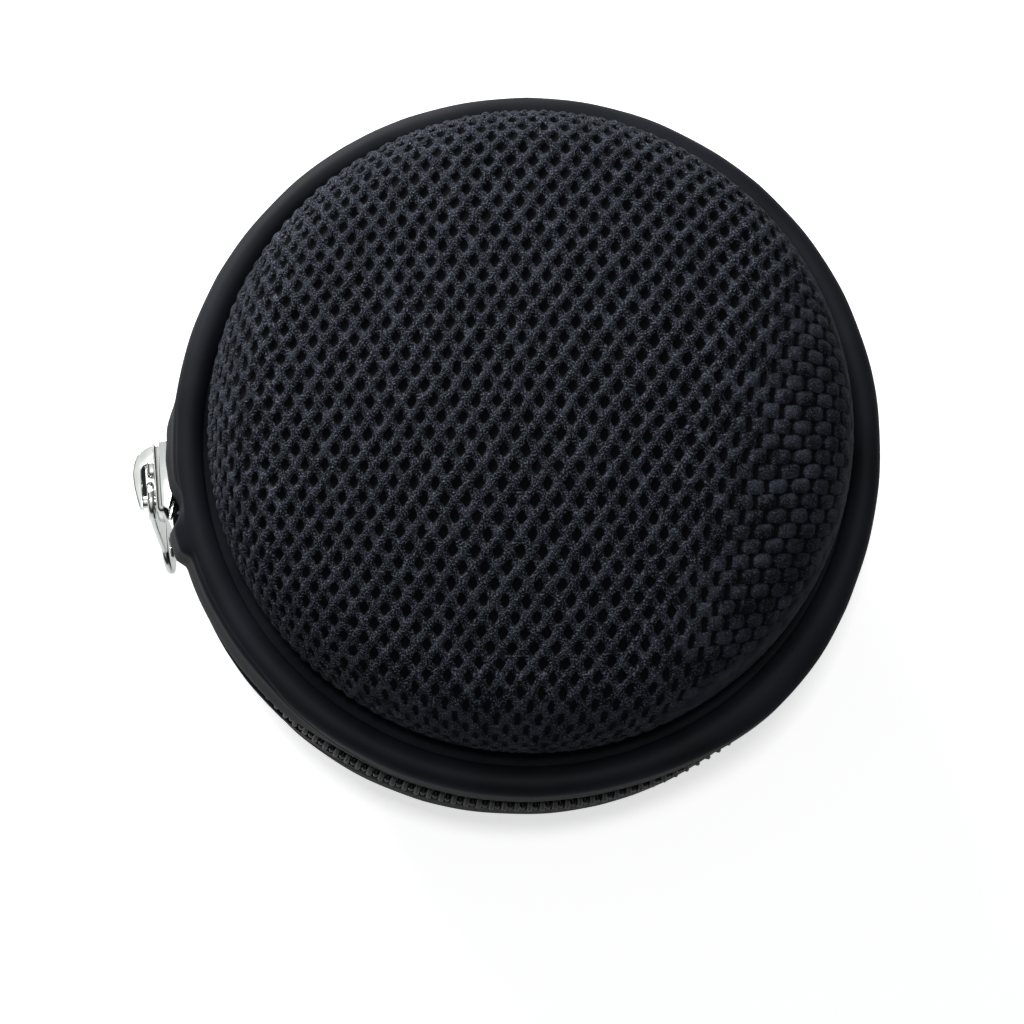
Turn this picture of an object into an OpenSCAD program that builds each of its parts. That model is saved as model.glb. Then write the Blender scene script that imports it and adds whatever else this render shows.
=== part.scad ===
// Round hard case: two moulded shells under woven cloth, joined by a fabric hinge and a coil zip.
// Z = 0 is the table, and the zip's mid-plane lies base_h above it. The hinge is on the +Y side.

/* [Case] */
// Diameter across the zip chain
case_d = 80; // [60:1:140]
// Height of the lid above the zip's mid-plane
lid_h = 24.5; // [20:0.5:34]
// Height of the base below the zip's mid-plane
base_h = 22; // [20:0.5:34]
// Distance from the zip chain in to the widest part of the domes
dome_inset = 4.6; // [4.3:0.1:5.4]
// Radius of the shoulder between wall and crown
shoulder_r = 8; // [6:0.5:9]
// Slope of the lid's crown where it meets the shoulder
crown_slope = 12; // [8:1:22]
// Diameter of the flat foot under the base
foot_d = 44; // [30:1:50]
// Slope of the base's bottom curve where it meets the shoulder
foot_slope = 40; // [30:1:50]
// Lean of the walls, inwards towards the rim
wall_lean = 8; // [2:1:12]

/* [Laminate] */
// Thickness of the woven cloth
cover_t = 0.7; // [0.4:0.1:1]
// Thickness of the moulded foam board
foam_t = 2.6; // [1.5:0.1:3.2]
// Thickness of the lining
lining_t = 0.5; // [0.3:0.1:0.8]
// Thickness of the binding over the inner edges
binding_t = 0.35; // [0.2:0.05:0.4]
// Width of the binding on the inside
binding_w = 5; // [3:0.5:6]

/* [Rim] */
// Width of the moulded rim bead
rim_bead_w = 3.4; // [3:0.1:3.6]
// Height of the bead's crest above the zip's mid-plane
rim_crest = 9.2; // [8:0.1:10]
// Height of the rim's lower edge above the mid-plane
rim_edge = 3.4; // [3.3:0.1:4]
// Step from the zip chain in to the rim's outer face
rim_inset = 0.4; // [0.3:0.05:0.8]
// Round on the rim's lower outer edge
rim_round = 0.35; // [0.2:0.05:0.5]

/* [Zip] */
// Thickness of the zip tape
tape_t = 0.6; // [0.4:0.05:0.7]
// Half of the slit between the two tapes
tape_slit = 0.8; // [0.6:0.05:1]
// Depth of the tape sewn into the rim
tape_seat = 2.8; // [2:0.1:3.5]
// Distance between teeth along one tape
tooth_pitch = 1.4; // [1.2:0.05:2]
// Thickness of the coil wire along the chain
wire_w = 0.6; // [0.4:0.05:0.65]
// Thickness of the wire across the coil
wire_t = 0.65; // [0.4:0.05:0.7]
// Height of the coil above the tape
coil_t = 1.6; // [1.4:0.05:1.7]
// Reach of the teeth past the mid-plane
tooth_mesh = 0.45; // [0.3:0.05:0.5]
// Half width of the closed chain
chain_half = 2.1; // [1.9:0.05:2.2]
// Length of a stop along the chain
stop_len = 1.6; // [1:0.1:2]
// Wall of a stop round its tape
stop_wall = 0.6; // [0.4:0.05:0.7]

/* [Hinge] */
// Half angle of the fabric hinge
hinge_half = 14; // [10:1:18]
// Distance of the fold line outside the rim
hinge_out = 0.35; // [0.3:0.05:0.6]
// Half of the slit at the fold line
hinge_slit = 0.3; // [0.2:0.05:0.5]

/* [Slider] */
// Angle of the closed slider from the hinge's centre
slider_turn = 35; // [30:1:60]
// Length of the slider
slider_len = 8.6; // [7:0.1:10]
// Half width of the slider's nose
nose_half = 3.15; // [3:0.05:3.2]
// Half width of the slider's tail
tail_half = 2.95; // [2.85:0.05:3.1]
// Thickness of the slider's plates
plate_t = 1.3; // [1:0.05:1.4]
// Clearance between the chain and the outer plate
chain_gap = 0.3; // [0.2:0.05:0.5]
// Clearance between the tape and the inner plate
tape_gap = 0.6; // [0.5:0.05:0.8]
// Clearance between the tape and the lips
lip_gap = 0.8; // [0.7:0.05:1]
// Clearance between the chain's edge and the lips
lip_side_gap = 0.25; // [0.2:0.05:0.35]
// Length of the taper that narrows the lips towards the tail
lip_taper = 3; // [2:0.1:4]
// Half thickness of the wedge that parts the teeth
wedge_half = 0.5; // [0.4:0.05:0.6]

/* [Pull] */
// Radius of the bail's post
post_r = 0.75; // [0.6:0.05:0.9]
// Width of the bail
bail_w = 2; // [1.6:0.1:2.6]
// Thickness of the bail's bar at its tail
bail_t = 0.7; // [0.6:0.05:0.9]
// Rise of the bail's arch above its tail
bail_rise = 0.5; // [0.3:0.05:0.8]
// Thickness of the pull tab
tab_t = 0.8; // [0.7:0.05:1]
// Clearance on each side of the tab
tab_gap = 0.15; // [0.1:0.05:0.3]
// Radial clearance of the eye on the post
eye_gap = 0.3; // [0.15:0.05:0.4]
// Radius of the tab's head round the eye
head_r = 2.2; // [2:0.1:2.6]
// Angle of the resting pull from straight down, towards the tail
pull_rest = 12; // [0:1:40]
// Length of the tab from the eye to its end
tab_len = 16; // [12:0.5:17]
// Half width of the tab's round end
tab_half = 3.2; // [2.8:0.1:3.5]
// Radius of the cord hole in the tab
cord_hole_r = 1.5; // [1.2:0.1:1.8]

/* [Hidden] */
$fa = 3;
$fs = 0.4;
eps = 0.01;

case_r = case_d / 2;
dome_r = case_r - dome_inset;
shell_in = cover_t + foam_t;
lining_in = shell_in + lining_t;
bead_r = rim_bead_w / 2;
rim_r = case_r - rim_inset;
bead_c = rim_r - bead_r;
bead_z = rim_crest - bead_r;
coil_in = case_r - coil_t;
tape_in = coil_in - tape_t;
tape_top = rim_edge + tape_seat;
hinge_y = rim_r + hinge_out;
arc_step = 6;
bead_step = 9;
hinge_at = 90;
full_turn = 360;

plate_in = case_r + chain_gap;
plate_out = plate_in + plate_t;
back_out = tape_in - tape_gap;
back_in = back_out - plate_t;
lip_in = coil_in + lip_gap;
lip_side = chain_half + lip_side_gap;
slider_at = hinge_at + slider_turn;
slider_half_deg = asin(slider_len / 2 / back_out);
stop_half_deg = asin(stop_len / 2 / coil_in);
stop_clear_deg = 0.8;
stop_at = slider_at - slider_half_deg - stop_clear_deg - stop_half_deg;
// The far stop mirrors the near one, so the slider's travel is twice the angle past the hinge's opposite side.
far_stop_at = full_turn + 2 * hinge_at - stop_at;
wedge_len = slider_len / 2 - 0.5;
first_tooth = slider_at + asin(1 / coil_in);
pitch_deg = full_turn * tooth_pitch / (2 * PI * case_r);
tooth_count = floor((far_stop_at - stop_half_deg - first_tooth) / pitch_deg);

post_y = slider_len / 2 - 2;
leg_y = -slider_len / 2 + 0.3;
leg_len = 2.3;
arch_y = -0.5;
arch_steps = 16;
tab_in = plate_out + tab_gap;
bar_in = tab_in + tab_t + tab_gap;
bar_out = bar_in + bail_t;
eye_r = post_r + eye_gap;
cord_hole_z = -(tab_len - tab_half);

// Points along a circular arc, from angle a to angle b.
function arc(cx, cy, r, a, b, step) =
    let (n = max(1, ceil(abs(b - a) / step)))
    [for (i = [0 : n]) let (t = a + (b - a) * i / n) [cx + r * cos(t), cy + r * sin(t)]];

// The dome's profile at a depth below its outer face, from the axis to the rim's edge: a flat of radius
// flat_r, a crown arc down to a slope, a shoulder arc past the vertical, and a wall that leans inwards.
function crown_r(flat_r, slope) = shoulder_r + (dome_r - shoulder_r - flat_r) / sin(slope);
function shoulder_z(h, flat_r, slope) =
    let (big = crown_r(flat_r, slope))
    h - big + (big - shoulder_r) * cos(slope);
function profile(h, flat_r, slope, depth, edge) =
    let (
        big = crown_r(flat_r, slope),
        cr = dome_r - shoulder_r,
        cz = shoulder_z(h, flat_r, slope),
        small = shoulder_r - depth,
        end_r = cr + small * cos(wall_lean),
        end_z = cz - small * sin(wall_lean)
    )
    concat(
        [[0, h - depth]],
        arc(flat_r, h - big, big - depth, 90, 90 - slope, arc_step / 3),
        arc(cr, cz, small, 90 - slope - arc_step, -wall_lean, arc_step),
        [[end_r - (end_z - edge) * tan(wall_lean), edge]]
    );

// A skin between two depths, revolved round the case's axis.
module skin(h, flat_r, slope, outer, inner, edge) {
    rotate_extrude()
        polygon(concat(
            profile(h, flat_r, slope, outer, edge),
            [for (i = [len(profile(h, flat_r, slope, inner, edge)) - 1 : -1 : 0])
                profile(h, flat_r, slope, inner, edge)[i]]
        ));
}

// Radius of a half's wall at the rim's edge, at a depth below the outer face.
function edge_r(h, flat_r, slope, depth) =
    let (p = profile(h, flat_r, slope, depth, rim_edge))
    p[len(p) - 1][0];

// Places a half that is drawn upwards from the mid-plane: the lid as it is, the base turned over.
module as_lid() {
    translate([0, 0, base_h])
        children();
}

module as_base() {
    translate([0, 0, base_h])
        mirror([0, 0, 1])
            children();
}

// The moulded rim: a bead with a rounded crest, a groove towards the dome, and a slot for the tape.
module rim(h, flat_r, slope) {
    wall_foot = edge_r(h, flat_r, slope, 0);
    wall_top = wall_foot + (bead_z - rim_edge) * tan(wall_lean);
    difference() {
        rotate_extrude()
            polygon(concat(
                [[wall_foot, rim_edge]],
                [[rim_r - rim_round, rim_edge]],
                [[rim_r, rim_edge + rim_round]],
                arc(bead_c, bead_z, bead_r, 0, 180, bead_step),
                [[wall_top, bead_z - bead_r / 3]]
            ));
        rotate_extrude()
            translate([tape_in, rim_edge - 1])
                square([tape_t, tape_seat + 1]);
    }
}

// The binding: an L-shaped strip over the foam's cut edge and up the lining.
module binding(h, flat_r, slope) {
    out_r = edge_r(h, flat_r, slope, 0);
    in_r = edge_r(h, flat_r, slope, lining_in);
    lean = tan(wall_lean);
    rotate_extrude()
        polygon([
            [in_r - binding_t, rim_edge - binding_t],
            [out_r, rim_edge - binding_t],
            [out_r, rim_edge],
            [in_r, rim_edge],
            [in_r + binding_w * lean, rim_edge + binding_w],
            [in_r + binding_w * lean - binding_t, rim_edge + binding_w]
        ]);
}

// A strip of tape from height z0 up into the rim, between two angles.
module tape(z0, from, to) {
    rotate([0, 0, from])
        rotate_extrude(angle = to - from)
            translate([tape_in, z0])
                square([tape_t, tape_top - z0]);
}

// One tooth: a flattened loop of the coil wire with a round head that reaches past the mid-plane.
module tooth() {
    head_r = coil_t / 2;
    head_z = head_r - tooth_mesh;
    slot_top = chain_half - wire_t;
    rotate([90, 0, 0])
        linear_extrude(height = wire_w, center = true)
            difference() {
                polygon(concat(
                    arc(coil_in + head_r, head_z, head_r, 180, 360, 30),
                    [[case_r, chain_half - wire_t / 2]],
                    [[case_r - wire_t / 2, chain_half]],
                    [[coil_in, chain_half]]
                ));
                translate([coil_in + wire_t, head_z])
                    square([coil_t - 2 * wire_t, slot_top - head_z]);
            }
}

// A row of teeth; the lower row is shifted by half a pitch so that the heads mesh.
module teeth(shift) {
    for (i = [0 : tooth_count - 1])
        rotate([0, 0, first_tooth + (i + shift) * pitch_deg])
            tooth();
}

// The stops: a clamp round each tape, one past each end of the chain.
module stops() {
    for (at = [stop_at, far_stop_at])
        rotate([0, 0, at])
            difference() {
                translate([tape_in - stop_wall, -stop_len / 2, tape_slit / 2])
                    cube([tape_t + stop_wall + coil_t / 2, stop_len, chain_half + wire_t / 2 - tape_slit / 2]);
                rotate([0, 0, -2 * stop_half_deg])
                    rotate_extrude(angle = 4 * stop_half_deg)
                        translate([tape_in, tape_slit])
                            square([tape_t, chain_half * 2]);
            }
}

// Outline of a slider plate: a wide round-shouldered nose towards -Y and a narrower tail.
function plate_outline(nose, tail, nose_r, tail_r) =
    let (l = slider_len / 2)
    concat(
        arc(tail - tail_r, l - tail_r, tail_r, 0, 90, 15),
        arc(-tail + tail_r, l - tail_r, tail_r, 90, 180, 15),
        arc(-nose + nose_r, -l + nose_r, nose_r, 180, 270, 15),
        arc(nose - nose_r, -l + nose_r, nose_r, 270, 360, 15)
    );

// Stands an outline drawn in (height, length) up at a radius, and gives it a thickness outwards.
module upright(radius, thick) {
    translate([radius, 0, 0])
        rotate([0, 90, 0])
            mirror([1, 0, 0])
                linear_extrude(height = thick)
                    children();
}

module at_slider() {
    translate([0, 0, base_h])
        rotate([0, 0, slider_at])
            children();
}

// Turns a part that hangs from the post to the pull's resting angle.
module at_rest() {
    translate([0, post_y, 0])
        rotate([pull_rest, 0, 0])
            children();
}

module base_cover() {
    color("#2b2e36")
        as_base()
            skin(base_h, foot_d / 2, foot_slope, 0, cover_t, rim_edge);
}

module base_shell() {
    color("#1c1d21")
        as_base()
            skin(base_h, foot_d / 2, foot_slope, cover_t, shell_in, rim_edge);
}

module base_lining() {
    color("#33353b")
        as_base()
            skin(base_h, foot_d / 2, foot_slope, shell_in, lining_in, rim_edge);
}

module base_rim() {
    color("#17181c")
        as_base()
            rim(base_h, foot_d / 2, foot_slope);
}

module base_binding() {
    color("#202126")
        as_base()
            binding(base_h, foot_d / 2, foot_slope);
}

module base_zip_tape() {
    color("#141518")
        as_base()
            tape(tape_slit, hinge_at + hinge_half, full_turn + hinge_at - hinge_half);
}

module base_zip_teeth() {
    color("#0f1013")
        as_base()
            teeth(0.5);
}

module base_zip_stops() {
    color("#b9bcc2")
        as_base()
            stops();
}

module hinge_tape_base() {
    color("#141518")
        as_base()
            tape(hinge_slit, hinge_at - hinge_half, hinge_at + hinge_half);
}

module lid_cover() {
    color("#2b2e36")
        as_lid()
            skin(lid_h, 0, crown_slope, 0, cover_t, rim_edge);
}

module lid_shell() {
    color("#1c1d21")
        as_lid()
            skin(lid_h, 0, crown_slope, cover_t, shell_in, rim_edge);
}

module lid_lining() {
    color("#33353b")
        as_lid()
            skin(lid_h, 0, crown_slope, shell_in, lining_in, rim_edge);
}

module lid_rim() {
    color("#17181c")
        as_lid()
            rim(lid_h, 0, crown_slope);
}

module lid_binding() {
    color("#202126")
        as_lid()
            binding(lid_h, 0, crown_slope);
}

module lid_zip_tape() {
    color("#141518")
        as_lid()
            tape(tape_slit, hinge_at + hinge_half, full_turn + hinge_at - hinge_half);
}

module lid_zip_teeth() {
    color("#0f1013")
        as_lid()
            teeth(0);
}

module lid_zip_stops() {
    color("#b9bcc2")
        as_lid()
            stops();
}

module hinge_tape_lid() {
    color("#141518")
        as_lid()
            tape(hinge_slit, hinge_at - hinge_half, hinge_at + hinge_half);
}

// The slider: a back plate inside the tapes, an outer plate with lips over the chain's edges, and the
// wedge at the nose that joins them and parts the teeth.
module slider_body() {
    color("#c9ccd1")
        at_slider() {
            upright(back_in, plate_t)
                polygon(plate_outline(nose_half, tail_half, 1.2, 0.8));
            difference() {
                upright(lip_in, plate_out - lip_in)
                    polygon(plate_outline(nose_half, tail_half, 1.2, 0.8));
                translate([lip_in - 1, -slider_len, -lip_side])
                    cube([plate_in - lip_in + 1, 2 * slider_len, 2 * lip_side]);
                translate([0, 0, -nose_half - 1])
                    linear_extrude(height = 2 * nose_half + 2)
                        polygon([
                            [lip_in - 1, slider_len / 2 - lip_taper - 1],
                            [lip_in, slider_len / 2 - lip_taper],
                            [plate_in - 0.2, slider_len / 2 + eps],
                            [lip_in - 1, slider_len / 2 + eps]
                        ]);
            }
            upright(back_out - eps, plate_in - back_out + 2 * eps)
                polygon([
                    [-wedge_half, -slider_len / 2 + 0.4],
                    [wedge_half, -slider_len / 2 + 0.4],
                    [wedge_half, -slider_len / 2 + wedge_len * 0.6],
                    [0, -slider_len / 2 + wedge_len],
                    [-wedge_half, -slider_len / 2 + wedge_len * 0.6]
                ]);
        }
}

// The bail: a smooth arch over the outer plate, on a broad leg at the nose and a round post at the tail.
// Its outer edge is a quarter ellipse from the nose to the arch's top and falls as a cosine to the tail.
module slider_bail() {
    top_x = bar_in + bail_t + bail_rise;
    tail_y = post_y + post_r;
    color("#c9ccd1")
        at_slider() {
            translate([0, 0, -bail_w / 2])
                linear_extrude(height = bail_w)
                    polygon(concat(
                        [for (i = [0 : arch_steps])
                            let (t = 90 * i / arch_steps)
                            [plate_out + (top_x - plate_out) * sin(t), arch_y + (leg_y - arch_y) * cos(t)]],
                        [for (i = [1 : arch_steps])
                            let (t = i / arch_steps)
                            [top_x - bail_rise * (1 - cos(90 * t)), arch_y + (tail_y - arch_y) * t]],
                        [[bar_in, tail_y]],
                        arc(bar_in - 0.8, leg_y + leg_len + 0.8, 0.8, 360, 270, 15),
                        [[plate_out, leg_y + leg_len]]
                    ));
            translate([plate_out, post_y, 0])
                rotate([0, 90, 0])
                    cylinder(r = post_r, h = bar_in - plate_out);
        }
}

// The pull tab: a round head with an eye on the post, a waist, and a round end with a cord hole.
module pull_tab() {
    waist = [for (i = [0 : 10])
        let (t = i / 10, s = t * t * (3 - 2 * t))
        [
            -head_r * 0.72 + (cord_hole_z + head_r * 0.72) * t,
            head_r * 0.694 + (tab_half - head_r * 0.694) * s
        ]];
    color("#c9ccd1")
        at_slider()
            at_rest()
                difference() {
                    upright(tab_in, tab_t)
                        polygon(concat(
                            arc(0, 0, head_r, 130, -130, 10),
                            [for (i = [0 : 10]) [waist[i][0], -waist[i][1]]],
                            arc(cord_hole_z, 0, tab_half, -105, -255, 15),
                            [for (i = [10 : -1 : 0]) waist[i]]
                        ));
                    for (hole = [[0, eye_r], [cord_hole_z, cord_hole_r]])
                        translate([tab_in - 1, 0, hole[0]])
                            rotate([0, 90, 0])
                                cylinder(r = hole[1], h = tab_t + 2);
                }
}

base_cover();
base_shell();
base_lining();
base_rim();
base_binding();
base_zip_tape();
base_zip_teeth();
base_zip_stops();
hinge_tape_base();
lid_cover();
lid_shell();
lid_lining();
lid_rim();
lid_binding();
lid_zip_tape();
lid_zip_teeth();
lid_zip_stops();
hinge_tape_lid();
slider_body();
slider_bail();
pull_tab();
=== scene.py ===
import bmesh
import bpy
import numpy as np
from mathutils import Matrix


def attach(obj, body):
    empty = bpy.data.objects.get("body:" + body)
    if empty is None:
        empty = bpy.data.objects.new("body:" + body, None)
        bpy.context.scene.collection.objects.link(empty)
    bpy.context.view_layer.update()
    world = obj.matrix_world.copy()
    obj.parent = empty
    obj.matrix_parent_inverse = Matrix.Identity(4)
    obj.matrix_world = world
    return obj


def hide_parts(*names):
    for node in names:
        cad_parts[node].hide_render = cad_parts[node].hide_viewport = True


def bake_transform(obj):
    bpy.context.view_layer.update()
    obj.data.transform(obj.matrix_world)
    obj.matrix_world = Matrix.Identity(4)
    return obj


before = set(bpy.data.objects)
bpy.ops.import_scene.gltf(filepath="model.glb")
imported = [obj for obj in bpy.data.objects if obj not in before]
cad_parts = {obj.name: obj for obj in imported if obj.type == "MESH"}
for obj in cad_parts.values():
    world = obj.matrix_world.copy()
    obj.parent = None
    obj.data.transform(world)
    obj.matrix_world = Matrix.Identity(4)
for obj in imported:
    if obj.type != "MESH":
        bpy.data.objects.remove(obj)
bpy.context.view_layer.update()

scene = bpy.context.scene
scene.view_settings.view_transform = "Standard"
rng = np.random.default_rng(11)

# Lengths are in millimetres until makePiece turns them to metres. Heights of the halves count from the
# zip's mid-plane, as in the CAD source.
case = {
    "midZ": 22.0,  # the zip's mid-plane above the table
    "caseR": 40.0,  # zip chain
    "domeR": 35.4,  # widest part of the domes
    "lidH": 24.5,  # heights of the halves
    "baseH": 22.0,
    "shoulderR": 8.0,
    "wallLean": 8.0,  # degrees
    "rimEdge": 3.4,  # the rims' edges, above and below the mid-plane
    "lidFlat": 0.0,  # radius of a flat at the crown or foot
    "lidSlope": 12.0,  # degrees, where the crown's arc meets the shoulder
    "baseFlat": 22.0,
    "baseSlope": 40.0,
    "sliderAt": 125.0,  # degrees round the case
    "outOfRound": 0.36,  # by use, its radius is this much longer at an angle and shorter across it
    "outOfRoundAt": 10.0,
}


def toLinear(code):
    # sRGB hex to linear light: c / 12.92 in the darks, ((c + 0.055) / 1.055) ** 2.4 above them
    c = np.array([int(code[i:i + 2], 16) for i in (1, 3, 5)]) / 255
    linear = np.where(c <= 0.04045, c / 12.92, ((c + 0.055) / 1.055) ** 2.4)
    return (*linear.tolist(), 1.0)


def addNode(tree, kind, settings=None, links=None):
    # settings are properties or input values, links are inputs and the nodes or sockets that feed them
    node = tree.nodes.new("ShaderNode" + kind)
    for key, value in (settings or {}).items():
        if isinstance(key, str) and hasattr(node, key):
            setattr(node, key, value)
        else:
            node.inputs[key].default_value = value
    for key, source in (links or {}).items():
        tree.links.new(source.outputs[0] if hasattr(source, "outputs") else source, node.inputs[key])
    return node


def startMaterial(name, settings):
    # a material whose Principled shader takes its plain numbers on its own sockets
    finish = bpy.data.materials.new(name)
    finish.use_nodes = True
    tree = finish.node_tree
    shader = tree.nodes["Principled BSDF"]
    for key, value in settings.items():
        shader.inputs[key].default_value = value
    return finish, tree, shader


def smoothStep(x, low, high):
    # 3 t^2 - 2 t^3 between low and high
    t = np.clip((x - low) / (high - low), 0, 1)
    return t * t * (3 - 2 * t)


def bell(x, middle, width):
    # exp(-((x - middle) / width)^2)
    return np.exp(-((x - middle) / width) ** 2)


def squared(wave, power):
    # sign(w) |w|^power turns a circle's sine and cosine into a rounded rectangle's
    return np.sign(wave) * np.abs(wave) ** power


def gridQuads(rows, cols, wrapRows=False, wrapCols=False):
    # quads between the neighbours of a grid of points that is stored row by row
    i = np.arange(rows if wrapRows else rows - 1)[:, None]
    j = np.arange(cols if wrapCols else cols - 1)[None, :]
    right = (j + 1) % cols
    below = (i + 1) % rows * cols
    return np.stack([i * cols + j, i * cols + right, below + right, below + j], -1).reshape(-1, 4)


def endCaps(rows, cols):
    # the two polygons that close a tube of rings: its first ring turned round, and its last
    ring = np.arange(cols)
    return np.stack([ring[::-1], (rows - 1) * cols + ring])


def makePiece(name, parts, finish, cloth=None, merge=False, sharp=None, soft=True):
    # parts are closed shells of points and faces; a shell whose signed volume is negative is turned out, and
    # soft ones go out of round with the case
    if soft:
        parts = [(handled(points), polys) for points, polys in parts]
    faces = []
    first = 0
    for points, polys in parts:
        volume = 0.0
        for poly in polys:
            a = points[poly[:, 0]]
            for k in range(1, poly.shape[1] - 1):
                volume += np.einsum("ij,ij->", a, np.cross(points[poly[:, k]], points[poly[:, k + 1]]))
        for poly in polys:
            faces += ((poly if volume > 0 else poly[:, ::-1]) + first).tolist()
        first += len(points)
    mesh = bpy.data.meshes.new(name)
    mesh.from_pydata((np.concatenate([p for p, q in parts]) * 0.001).tolist(), [], faces)
    if cloth is not None:
        field = mesh.attributes.new("cloth", "FLOAT_VECTOR", "POINT")
        field.data.foreach_set("vector", np.ascontiguousarray(cloth, np.float32).ravel())
    if merge:
        work = bmesh.new()
        work.from_mesh(mesh)
        bmesh.ops.remove_doubles(work, verts=work.verts, dist=2e-6)
        work.to_mesh(mesh)
        work.free()
    mesh.shade_smooth()
    if sharp:
        mesh.set_sharp_from_angle(angle=np.radians(sharp))
    mesh.materials.append(finish)
    piece = bpy.data.objects.new(name, mesh)
    scene.collection.objects.link(piece)
    print(f"{name}: {sum(len(f) - 2 for f in faces)} triangles")
    return piece


def domePath(height, flatR, slope, endZ):
    # the half's outer face from the axis: a flat, a crown arc down to a slope, a shoulder arc past the
    # vertical and a wall that leans in; gives arc length, radius, height and the outward normal
    r0 = case["shoulderR"]
    cr = case["domeR"] - r0
    q = np.radians(slope)
    big = r0 + (cr - flatR) / np.sin(q)
    cz = height - big + (big - r0) * np.cos(q)
    lean = np.radians(case["wallLean"])
    a = np.linspace(0, q, 200)
    b = np.linspace(q, np.pi / 2 + lean, 200)[1:]
    flat = np.linspace(0, flatR, 50)[:-1] if flatR else np.zeros(0)
    r = [flat, flatR + big * np.sin(a), cr + r0 * np.sin(b)]
    z = [np.full(len(flat), height), height - big + big * np.cos(a), cz + r0 * np.cos(b)]
    endR = r[2][-1] - (z[2][-1] - endZ) * np.tan(lean)
    r = np.concatenate(r + [np.linspace(r[2][-1], endR, 40)[1:]])
    z = np.concatenate(z + [np.linspace(z[2][-1], endZ, 40)[1:]])
    s = np.concatenate([[0], np.cumsum(np.hypot(np.diff(r), np.diff(z)))])
    dr = np.gradient(r, s)
    dz = np.gradient(z, s)
    size = np.hypot(dr, dz)
    return s, r, z, -dz / size, dr / size


def onDome(path, s, angle, depth, side):
    # the point at arc length s from the crown and at an angle, sunk by depth; side -1 turns it to the base
    r = np.interp(s, path[0], path[1]) - depth * np.interp(s, path[0], path[3])
    z = np.interp(s, path[0], path[2]) - depth * np.interp(s, path[0], path[4])
    return np.stack([r * np.cos(angle), r * np.sin(angle), case["midZ"] + side * z], -1)


def ringPoints(profile, angles, side):
    # each profile point (radius, height) is carried round the case's axis
    r, z = profile[None, :, 0], profile[None, :, 1]
    a = angles[:, None]
    return np.stack([r * np.cos(a), r * np.sin(a), case["midZ"] + side * z + 0 * a], -1)


def handled(points):
    # a used case is a little out of round: its radius changes by a cosine of twice the angle
    x, y, z = points[:, 0], points[:, 1], points[:, 2]
    share = case["outOfRound"] / case["caseR"]
    scale = 1 + share * np.cos(2 * (np.arctan2(y, x) - np.radians(case["outOfRoundAt"])))
    return np.stack([x * scale, y * scale, z], -1)


print("camera and light")
# The photo was taken from nearly above, tilted towards the front left of the case.
view = {
    "lookRight": -1.4,  # look point, in mm from the axis towards image right and image up
    "lookUp": -6.6,
    "tilt": 13.0,  # degrees from straight down
    "towards": 106.5,  # the tilt's direction, clockwise from image right
    "distance": 350.0,
    "lens": 109.3,
}
imageRight = np.array([np.cos(np.radians(-60)), np.sin(np.radians(-60)), 0])
imageUp = np.array([np.cos(np.radians(30)), np.sin(np.radians(30)), 0])
towards = np.radians(view["towards"])
tilt = np.radians(view["tilt"])
look = view["lookRight"] * imageRight + view["lookUp"] * imageUp + np.array([0, 0, case["midZ"]])
lean = np.cos(towards) * imageRight - np.sin(towards) * imageUp
back = np.sin(tilt) * lean + np.cos(tilt) * np.array([0, 0, 1])
right = np.cross(imageUp, back)
right /= np.linalg.norm(right)
turned = np.eye(4)
turned[:3, 0] = right
turned[:3, 1] = np.cross(back, right)
turned[:3, 2] = back
turned[:3, 3] = (look + view["distance"] * back) * 0.001
cameraData = bpy.data.cameras.new("camera")
cameraData.lens = view["lens"]
cameraData.sensor_width = 36.0
cameraData.clip_start = 0.01
camera = bpy.data.objects.new("camera", cameraData)
camera.matrix_world = Matrix(turned.tolist())
scene.collection.objects.link(camera)
scene.camera = camera

lamps = {
    # name: (image right, image up, height in m, size in m, watts)
    "key": (-0.17, 0.30, 0.145, 0.20, 2.35),
    "top": (-0.03, -0.045, 0.60, 0.06, 1.05),
}
for name, (rightward, upward, height, size, watts) in lamps.items():
    lampData = bpy.data.lights.new(name, "AREA")
    lampData.size = size
    lampData.energy = watts
    lamp = bpy.data.objects.new(name, lampData)
    place = rightward * imageRight + upward * imageUp + np.array([0, 0, height])
    aim = place - np.array([0, 0, 0.02])  # the case's middle
    zAxis = aim / np.linalg.norm(aim)
    xAxis = np.cross(np.array([0.0, 1.0, 0.0]), zAxis)
    xAxis /= np.linalg.norm(xAxis)
    turned = np.eye(4)
    turned[:3, 0] = xAxis
    turned[:3, 1] = np.cross(zAxis, xAxis)
    turned[:3, 2] = zAxis
    turned[:3, 3] = place
    lamp.matrix_world = Matrix(turned.tolist())
    scene.collection.objects.link(lamp)


def backdropRays(tree):
    # the camera's rays, and with them the glossy and transmission rays, which see the white background too
    rays = addNode(tree, "LightPath")
    fromCamera = rays.outputs["Is Camera Ray"]
    seen = addNode(tree, "Math", {"operation": "MAXIMUM"}, {0: fromCamera, 1: rays.outputs["Is Glossy Ray"]})
    seen = addNode(tree, "Math", {"operation": "MAXIMUM"}, {0: seen, 1: rays.outputs["Is Transmission Ray"]})
    return fromCamera, seen


world = bpy.data.worlds.new("studio")
scene.world = world
world.use_nodes = True
sky = world.node_tree
sky.nodes.clear()
fromCamera, seen = backdropRays(sky)
fill = addNode(sky, "Background", {"Color": toLinear("#eef2fa"), "Strength": 0.12})
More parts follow.
